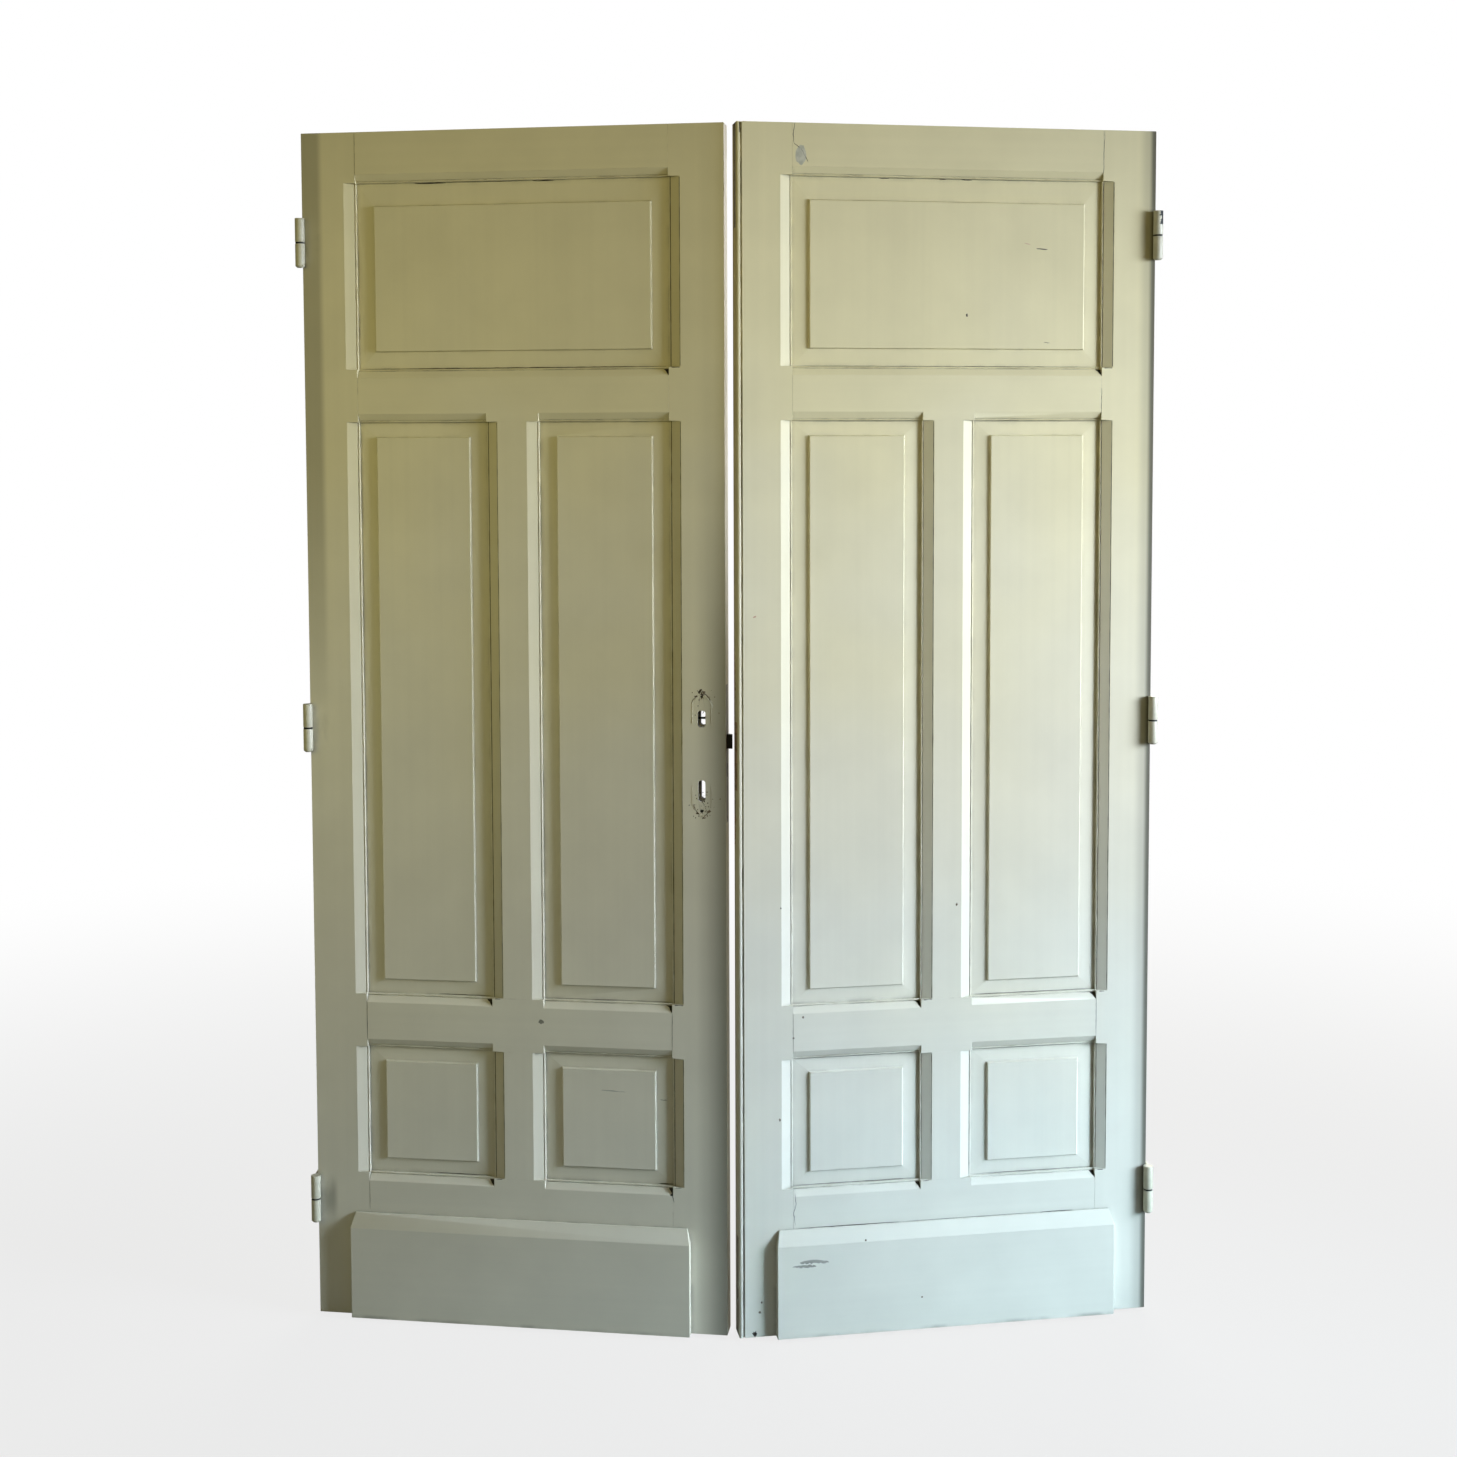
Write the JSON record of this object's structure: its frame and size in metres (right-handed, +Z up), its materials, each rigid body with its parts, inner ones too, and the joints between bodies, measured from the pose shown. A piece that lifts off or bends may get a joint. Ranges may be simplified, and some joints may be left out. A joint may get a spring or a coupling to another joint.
{
  "type": "double door",
  "caption": "Old painted panelled double door, two leaves standing ajar on lift-off hinges, with fielded panels, stopped chamfers, plinth boards, a mortise lock and edge bolts.",
  "frame": {"origin": "Middle of the door opening, at the height of the leaves' lower edges, in the plane of the two hinge axes", "axes": "+X across the opening to the right leaf, +Y through the opening away from the hinge side that the leaves open to, +Z up along the hinge axes"},
  "size_m": [1.5464, 0.1696, 2.15],
  "materials": {
    "painted_wood": "old ivory gloss paint on softwood, worn at the arrises",
    "painted_hinge": "steel painted over with the same ivory paint",
    "lock_steel": "dull steel",
    "dark_iron": "dark greased iron"
  },
  "bodies": {
    "frame_hinges": {"left_frame_hinges": "painted_hinge", "left_hinge_washers": "dark_iron", "right_frame_hinges": "painted_hinge", "right_hinge_washers": "dark_iron"},
    "left_leaf": {"left_bottom_rail": "painted_wood", "left_frieze_rail": "painted_wood", "left_hinge_stile": "painted_wood", "left_leaf_hinges": "painted_hinge", "left_lock_stile": "painted_wood", "left_lower_muntin": "painted_wood", "left_middle_rail": "painted_wood", "left_plinth": "painted_wood", "left_square_panel_hinge": "painted_wood", "left_square_panel_meeting": "painted_wood", "left_tall_panel_hinge": "painted_wood", "left_tall_panel_meeting": "painted_wood", "left_top_panel": "painted_wood", "left_top_rail": "painted_wood", "left_upper_muntin": "painted_wood", "lock_case": "lock_steel", "lock_cover": "lock_steel", "lock_forend": "lock_steel"},
    "right_leaf": {"bottom_bolt_plate": "lock_steel", "right_bottom_rail": "painted_wood", "right_frieze_rail": "painted_wood", "right_hinge_stile": "painted_wood", "right_leaf_hinges": "painted_hinge", "right_lower_muntin": "painted_wood", "right_meeting_stile": "painted_wood", "right_middle_rail": "painted_wood", "right_plinth": "painted_wood", "right_square_panel_hinge": "painted_wood", "right_square_panel_meeting": "painted_wood", "right_tall_panel_hinge": "painted_wood", "right_tall_panel_meeting": "painted_wood", "right_top_panel": "painted_wood", "right_top_rail": "painted_wood", "right_upper_muntin": "painted_wood", "strike_plate": "lock_steel", "top_bolt_plate": "lock_steel"},
    "latch_bolt": {"latch_bolt": "dark_iron"},
    "dead_bolt": {"dead_bolt": "dark_iron"},
    "top_bolt": {"top_bolt": "lock_steel"},
    "bottom_bolt": {"bottom_bolt": "lock_steel"}
  },
  "joints": [
    {"name": "left_leaf_swing", "type": "hinge", "parent": "frame_hinges", "child": "left_leaf", "pos_m": [-0.76475, 0, 1.075], "axis": [0, 0, -1], "range_deg": [-8.4, 161.6]},
    {"name": "right_leaf_swing", "type": "hinge", "parent": "frame_hinges", "child": "right_leaf", "pos_m": [0.76475, 0, 1.075], "axis": [0, 0, 1], "range_deg": [-9.3, 160.7]},
    {"name": "latch_bolt_slide", "type": "slide", "parent": "left_leaf", "child": "latch_bolt", "axis": [0.9893, -0.1461, 0], "range_m": [-0.01, 0], "stiffness_N_per_m": 400, "springref_m": 0.01},
    {"name": "dead_bolt_slide", "type": "slide", "parent": "left_leaf", "child": "dead_bolt", "axis": [0.9893, -0.1461, 0], "range_m": [0, 0.01]},
    {"name": "top_bolt_slide", "type": "slide", "parent": "right_leaf", "child": "top_bolt", "axis": [0, 0, 1], "range_m": [0, 0.02]},
    {"name": "bottom_bolt_slide", "type": "slide", "parent": "right_leaf", "child": "bottom_bolt", "axis": [0, 0, -1], "range_m": [0, 0.02]}
  ]
}
